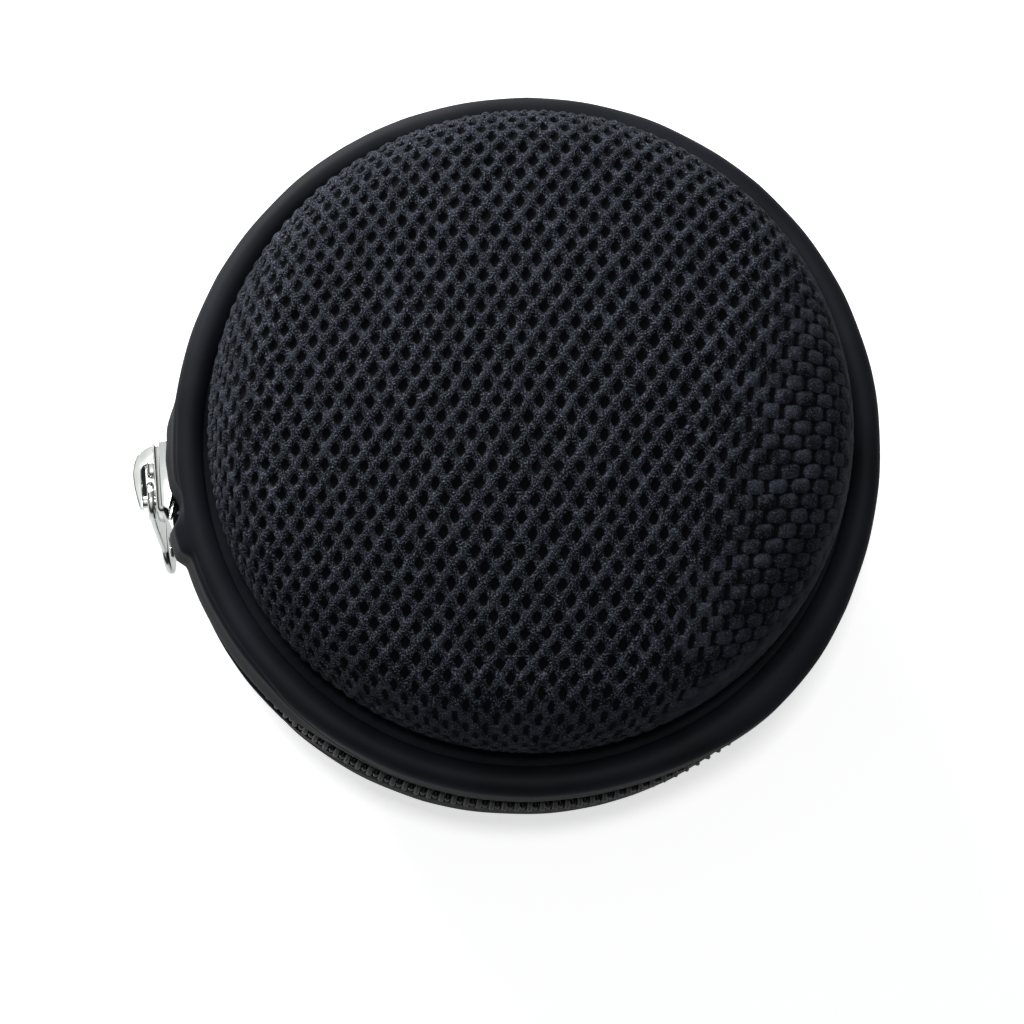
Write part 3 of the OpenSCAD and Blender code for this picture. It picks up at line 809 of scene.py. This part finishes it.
def liningPart(path, side):
    # the lining's two faces on rings by arc length, joined at the edge; its coordinates are flat millimetres
    rows, count = inside["liningSteps"]
    s = np.linspace(0, path[0][-1], rows)
    s = np.concatenate([s, s[::-1]])
    depths = np.repeat([inside["liningOut"], inside["liningIn"]], rows)[:, None]
    s, angles = np.meshgrid(s, np.linspace(0, 2 * np.pi, count, endpoint=False), indexing="ij")
    points = onDome(path, s, angles, depths, side)
    cloth = np.stack([s * np.cos(angles), s * np.sin(angles), 0 * s], -1)
    return (points.reshape(-1, 3), [gridQuads(2 * rows, count, wrapCols=True)]), cloth.reshape(-1, 3)


def bindingPart(path, side):
    # the binding's section: under the foam's edge, then up the lining, with soft corners
    lean = np.tan(np.radians(case["wallLean"]))
    outR = path[1][-1]
    inR = outR - inside["liningIn"] / np.cos(np.radians(case["wallLean"]))
    t, w, bend = inside["bindingT"], inside["bindingW"], inside["bindingR"]
    low = case["rimEdge"]
    q = np.radians(np.linspace(180, 270, 6))
    profile = np.concatenate([
        np.linspace(w, 2 * bend, 14)[:, None] * [lean, 1] + [inR - t, low],
        np.stack([inR + bend + (t + bend) * np.cos(q), low + bend + (t + bend) * np.sin(q)], -1),
        np.linspace([inR + 2 * bend, low - t], [outR, low - t], 6),
        [[outR, low - 0.02], [inR + 0.2, low - 0.02], [inR + w * lean, low + w]],
    ])
    angles = np.linspace(0, 2 * np.pi, inside["bindingSteps"], endpoint=False)
    points = ringPoints(profile, angles, side).reshape(-1, 3)
    run = np.concatenate([[0], np.cumsum(np.linalg.norm(np.diff(profile, axis=0), axis=1))])
    roundCase = np.repeat(angles * inside["bindingMid"], len(profile))
    cloth = np.stack([roundCase, np.tile(run, len(angles)), np.zeros(len(points))], -1)
    return (points, [gridQuads(len(angles), len(profile), True, True)]), cloth


for half, path, side in halves:
    part, cloth = liningPart(path, side)
    piece = makePiece(half + "Lining", [part], tricotLining, cloth, merge=True)
    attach(piece, half)
    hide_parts(half + "_lining")
    part, cloth = bindingPart(path, side)
    piece = makePiece(half + "Binding", [part], grosgrain, cloth, sharp=60)
    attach(piece, half)
    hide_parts(half + "_binding")

print("slider, bail and pull")
slider = {
    "length": 8.6,
    "nose": 3.15,  # half heights of the plates
    "tail": 2.95,
    "backIn": 36.1,
    "backOut": 37.2,
    "lipIn": 39.2,
    "plateIn": 40.3,
    "plateOut": 41.6,
    "lipSide": 2.35,
    "noseR": 1.4,  # corners of the plates
    "tailR": 0.8,
    "lipOut": 41.05,
    "wedge": 0.5,  # half height
    "capOut": 42.4,  # the lock spring's cap under the bail, above the pull's way round
    "capAt": (-1.1, 0.85),  # its middle, and half its size, along the chain and up
    "capHalf": (1.0, 1.2),
    "edges": {"plate": 0.6, "back": 0.4, "lip": 0.2, "cap": 0.42, "wedge": 0.1},  # how far they are rounded
}


def arcPoints(cx, cy, r, fromDeg, toDeg, count):
    # points on a circular arc from one angle to the other
    t = np.radians(np.linspace(fromDeg, toDeg, count))
    return np.stack([cx + r * np.cos(t), cy + r * np.sin(t)], -1)


def pillow(outline, low, high, edge, steps=4):
    # a flat piece between two heights: rings step in along the outline's normals by edge (1 - cos q) while
    # they rise by edge sin q, so that both rims are round
    ahead = np.roll(outline, -1, 0) - np.roll(outline, 1, 0)
    normal = np.stack([ahead[:, 1], -ahead[:, 0]], -1)
    normal /= np.linalg.norm(normal, axis=1, keepdims=True)
    q = np.linspace(0, np.pi / 2, steps + 1)
    inset = edge * (1 - np.cos(q))
    inset = np.concatenate([inset[::-1], inset])
    level = np.concatenate([low + edge - edge * np.sin(q[::-1]), high - edge + edge * np.sin(q)])
    flat = outline[None] - inset[:, None, None] * normal[None]
    size = flat.shape[:2]
    points = np.concatenate([flat, np.broadcast_to(level[:, None, None], size + (1,))], -1)
    return points.reshape(-1, 3), [gridQuads(*size, wrapCols=True), endCaps(*size)]


def ringPlate(inR, outR, low, high, edge):
    # a washer with round edges: its rounded section goes round its own axis
    q = np.radians(np.linspace(0, 90, 5))
    w, h = outR - inR, high - low
    corner = np.stack([np.cos(q), np.sin(q)], -1) * edge
    flips = [([1, 1], 1), ([-1, 1], -1), ([-1, -1], 1), ([1, -1], -1)]
    corner = corner + [w / 2 - edge, h / 2 - edge]
    section = np.concatenate([corner[::order] * flip for flip, order in flips])
    section += [(inR + outR) / 2, (low + high) / 2]
    a = np.linspace(0, 2 * np.pi, 40, endpoint=False)[:, None]
    r, z = section[None, :, 0], section[None, :, 1] + 0 * a
    points = np.stack([r * np.cos(a), r * np.sin(a), z], -1).reshape(-1, 3)
    return points, [gridQuads(40, len(section), True, True)]


def placed(part, axes, move=(0, 0, 0), at=case["sliderAt"]):
    # turns a part's own axes to slider axes (outwards, along the chain, up), then sets it on the case at an
    # angle round it
    points, polys = part
    local = points @ np.array(axes, float) + np.array(move, float)
    a = np.radians(at)
    turn = np.array([[np.cos(a), np.sin(a), 0], [-np.sin(a), np.cos(a), 0], [0, 0, 1]])
    return local @ turn + [0, 0, case["midZ"]], polys


# own x, y, z as (outwards, along, up)
facing = [[0, 1, 0], [0, 0, 1], [1, 0, 0]]  # outline in (along, up), thickness outwards
flatLying = [[1, 0, 0], [0, 1, 0], [0, 0, 1]]  # outline in (outwards, along), thickness upwards

# both plates: rounded corners, and a nose taller than the tail
end = slider["length"] / 2
nose, tail, noseR, tailR = slider["nose"], slider["tail"], slider["noseR"], slider["tailR"]
outline = np.concatenate([
    arcPoints(end - tailR, tail - tailR, tailR, 0, 90, 7),
    arcPoints(-end + noseR, nose - noseR, noseR, 90, 180, 9),
    arcPoints(-end + noseR, -nose + noseR, noseR, 180, 270, 9),
    arcPoints(end - tailR, -tail + tailR, tailR, 270, 360, 7),
])
# a lip: straight under the plate, cut back towards the tail and round at the nose
lipIn, lipOut = slider["lipIn"], slider["lipOut"]
lip = np.concatenate([
    [[lipOut, -end + 0.6], [lipOut, end - 0.7], [40.1, end - 0.3]],
    [[lipIn + 0.15, end - 2.75], [lipIn, end - 3.2]],
    arcPoints(lipIn + 0.9, -end + 1.2, 0.9, 180, 250, 5),
])
# the cap is a rounded rectangle, and the wedge comes to a point between the two rows of the chain
around = np.linspace(0, 2 * np.pi, 28, endpoint=False)
cap = np.stack([squared(np.cos(around), 0.6), squared(np.sin(around), 0.6)], -1)
cap = slider["capAt"] + slider["capHalf"] * cap
w = slider["wedge"]
wedge = np.array([[-end + 0.4, -w], [-0.2, -w], [1.1, 0.0], [-0.2, w], [-end + 0.4, w]])
edges = slider["edges"]
parts = [
    placed(pillow(outline, slider["plateIn"], slider["plateOut"], edges["plate"]), facing),
    placed(pillow(outline, slider["backIn"], slider["backOut"], edges["back"]), facing),
    placed(pillow(lip, slider["lipSide"], nose - 0.01, edges["lip"]), flatLying),
    placed(pillow(lip, -nose + 0.01, -slider["lipSide"], edges["lip"]), flatLying),
    placed(pillow(cap, slider["plateOut"] - 0.3, slider["capOut"], edges["cap"]), facing),
    placed(pillow(wedge, slider["backOut"] - 0.3, slider["plateIn"] + 0.3, edges["wedge"]), facing),
]
sliderBody = makePiece("sliderBody", parts, nickel, sharp=40, soft=False)
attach(sliderBody, "slider")
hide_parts("slider_body")

bail = {
    "halfWidth": 1.0,
    "post": 0.75,
    "postAlong": 2.3,
    "tabIn": 41.75,
    "tabOut": 42.55,
    "barIn": 43.0,
    "tailT": 0.5,  # thickness of the bar at its tail
    "rise": 0.5,  # of the arch above its tail
    "leafIn": 42.62,  # the lock spring's leaf under the bar, dark as painted shade in the gap, and its half width and ends
    "leafHalf": 0.55,
    "leafEnds": (-2.0, 2.3),
    "footAlong": -4.0,
    "footLength": 2.3,
    "topAlong": -0.5,
}
# the arch seen from above: a quarter ellipse from the nose to the top, a cosine down to the tail, and the
# inner edge back with a round corner at the leg
t = np.linspace(0, np.pi / 2, 17)
footX = slider["plateOut"] - 0.1
topX = bail["barIn"] + bail["tailT"] + bail["rise"]
topY = bail["topAlong"]
tailY = bail["postAlong"] + bail["post"]
legY = bail["footAlong"] + bail["footLength"]
outline = np.concatenate([
    np.stack([footX + (topX - footX) * np.sin(t), topY + (bail["footAlong"] - topY) * np.cos(t)], -1),
    np.stack([topX - bail["rise"] * (1 - np.cos(t)), topY + (tailY - topY) * t * 2 / np.pi], -1)[1:],
    [[bail["barIn"], tailY], [bail["barIn"], tailY - 1.5]],
    arcPoints(bail["barIn"] - 0.8, legY + 0.8, 0.8, 360, 270, 7),
    [[footX, legY]],
])
post = arcPoints(bail["postAlong"], 0, bail["post"], 0, 360, 25)[:-1]
parts = [
    placed(pillow(outline, -bail["halfWidth"], bail["halfWidth"], 0.2, 6), flatLying),
    placed(pillow(post, footX, bail["barIn"] + 0.1, 0.1), facing),
]
sliderBail = makePiece("sliderBail", parts, nickel, sharp=40, soft=False)
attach(sliderBail, "slider")
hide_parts("slider_bail")

# painted shade: a dark leaf set in the gap under the bail's bar, where there is only shade
leafFrom, leafTo = bail["leafEnds"]
w = bail["leafHalf"]
leaf = np.concatenate([arcPoints(leafTo, 0, w, -90, 90, 9), [[leafFrom, w], [leafFrom, -w]]])
parts = [placed(pillow(leaf, bail["leafIn"], bail["barIn"] + 0.15, 0.06, 2), facing)]
gapShadeLeaf = makePiece("gapShadeLeaf", parts, gapShadeSteel, sharp=40, soft=False)
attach(gapShadeLeaf, "slider")

pull = {
    "headR": 2.2,
    "eyeR": 1.05,
    "endR": 3.2,
    "holeR": 1.5,
    "holeZ": -12.8,
    "neck": 1.35,  # half width of the strap at the eye, and how much it gains down the tab
    "widening": 0.55,
    "strapZ": -1.5,
    "edge": 0.36,  # how far its edges are rounded
    "lean": 1.6,  # how far the tab's end leans towards the case
    "leanFrom": 2.5,  # below the eye
    "leanOver": 13.5,
    "leanBend": 0.12,
    "rest": 12.0,  # degrees from straight down, towards the slider's tail
}


def strapPart(low, high):
    # the tab between its two rings: a rounded rectangle that widens down the tab, closed at both ends
    rows, count = 16, 28
    q = np.linspace(0, 2 * np.pi, count, endpoint=False)
    t = np.linspace(0, 1, rows)[:, None]
    wide = (pull["neck"] + pull["widening"] * smoothStep(t, 0, 1)) * squared(np.cos(q), 0.4)
    thick = (low + high) / 2 + (high - low) / 2 * squared(np.sin(q), 0.4)
    reach = pull["strapZ"] + (pull["holeZ"] + 2.4 - pull["strapZ"]) * t
    points = np.stack([wide, reach + 0 * wide, thick + 0 * wide], -1).reshape(-1, 3)
    return points, [gridQuads(rows, count, wrapCols=True), endCaps(rows, count)]


swing = np.radians(pull["rest"])
hanging = np.array([[1, 0, 0], [0, np.cos(swing), np.sin(swing)], [0, -np.sin(swing), np.cos(swing)]])


def onPost(part, drop):
    # drops a part along the pull, leans it towards the case by (1 + b) t^2 / (t + b) below the eye, turns it
    # to the pull's rest and sets it on the bail's post
    points, polys = part
    points = points @ np.array(facing, float) + [0, 0, drop]
    t = np.clip(-points[:, 2] - pull["leanFrom"], 0, None) / pull["leanOver"]
    points[:, 0] -= pull["lean"] * (1 + pull["leanBend"]) * t * t / (t + pull["leanBend"])
    points = points @ hanging
    return placed((points, polys), flatLying, (0, bail["postAlong"], 0))


tabIn, tabOut = bail["tabIn"], bail["tabOut"]
parts = [
    onPost(ringPlate(pull["eyeR"], pull["headR"], tabIn, tabOut, pull["edge"]), 0),
    onPost(ringPlate(pull["holeR"], pull["endR"], tabIn, tabOut, pull["edge"]), pull["holeZ"]),
    onPost(strapPart(tabIn + 0.05, tabOut - 0.05), 0),
]
pullTab = makePiece("pullTab", parts, nickel, sharp=40, soft=False)
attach(pullTab, "pull")
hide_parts("pull_tab")

print("stops")
stop = {
    "at": (116.37, 423.63),  # degrees, past both ends of the chain
    "inR": 37.22,
    "outR": 39.18,
    "low": 0.42,
    "high": 2.4,
    "length": 1.56,
    "jaw": 0.56,  # thickness of its inner jaw
    "corners": (0.25, 0.5, 0.6, 0.35),  # radii, from the top of the inner jaw round to the outer one
}
# a U bent round the tape's edge: outline in (outwards, up), open at the top
mouthIn = stop["inR"] + stop["jaw"]
mouthOut = tape["outR"] + 0.02
floorZ = tape["slit"] - 0.02
r1, r2, r3, r4 = stop["corners"]
outline = np.concatenate([
    arcPoints(stop["inR"] + r1, stop["high"] - r1, r1, 90, 180, 5),
    arcPoints(stop["inR"] + r2, stop["low"] + r2, r2, 180, 270, 7),
    arcPoints(stop["outR"] - r3, stop["low"] + r3, r3, 270, 360, 7),
    arcPoints(stop["outR"] - r4, stop["high"] - r4, r4, 0, 90, 5),
    [[mouthOut, stop["high"]], [mouthOut, floorZ], [mouthIn, floorZ], [mouthIn, stop["high"]]],
])
clamp = pillow(outline, -stop["length"] / 2, stop["length"] / 2, 0.12)
for half, path, side in halves:
    parts = [placed(clamp, [[1, 0, 0], [0, 0, side], [0, 1, 0]], at=at) for at in stop["at"]]
    piece = makePiece(half + "Stops", parts, nickel, sharp=40)
    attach(piece, half)
    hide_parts(half + "_zip_stops")

print("carried-over nodes")
for node, finish in (("lid_shell", evaFoam), ("base_shell", evaFoam)):
    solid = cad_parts[node]
    solid.data.materials.clear()
    solid.data.materials.append(finish)
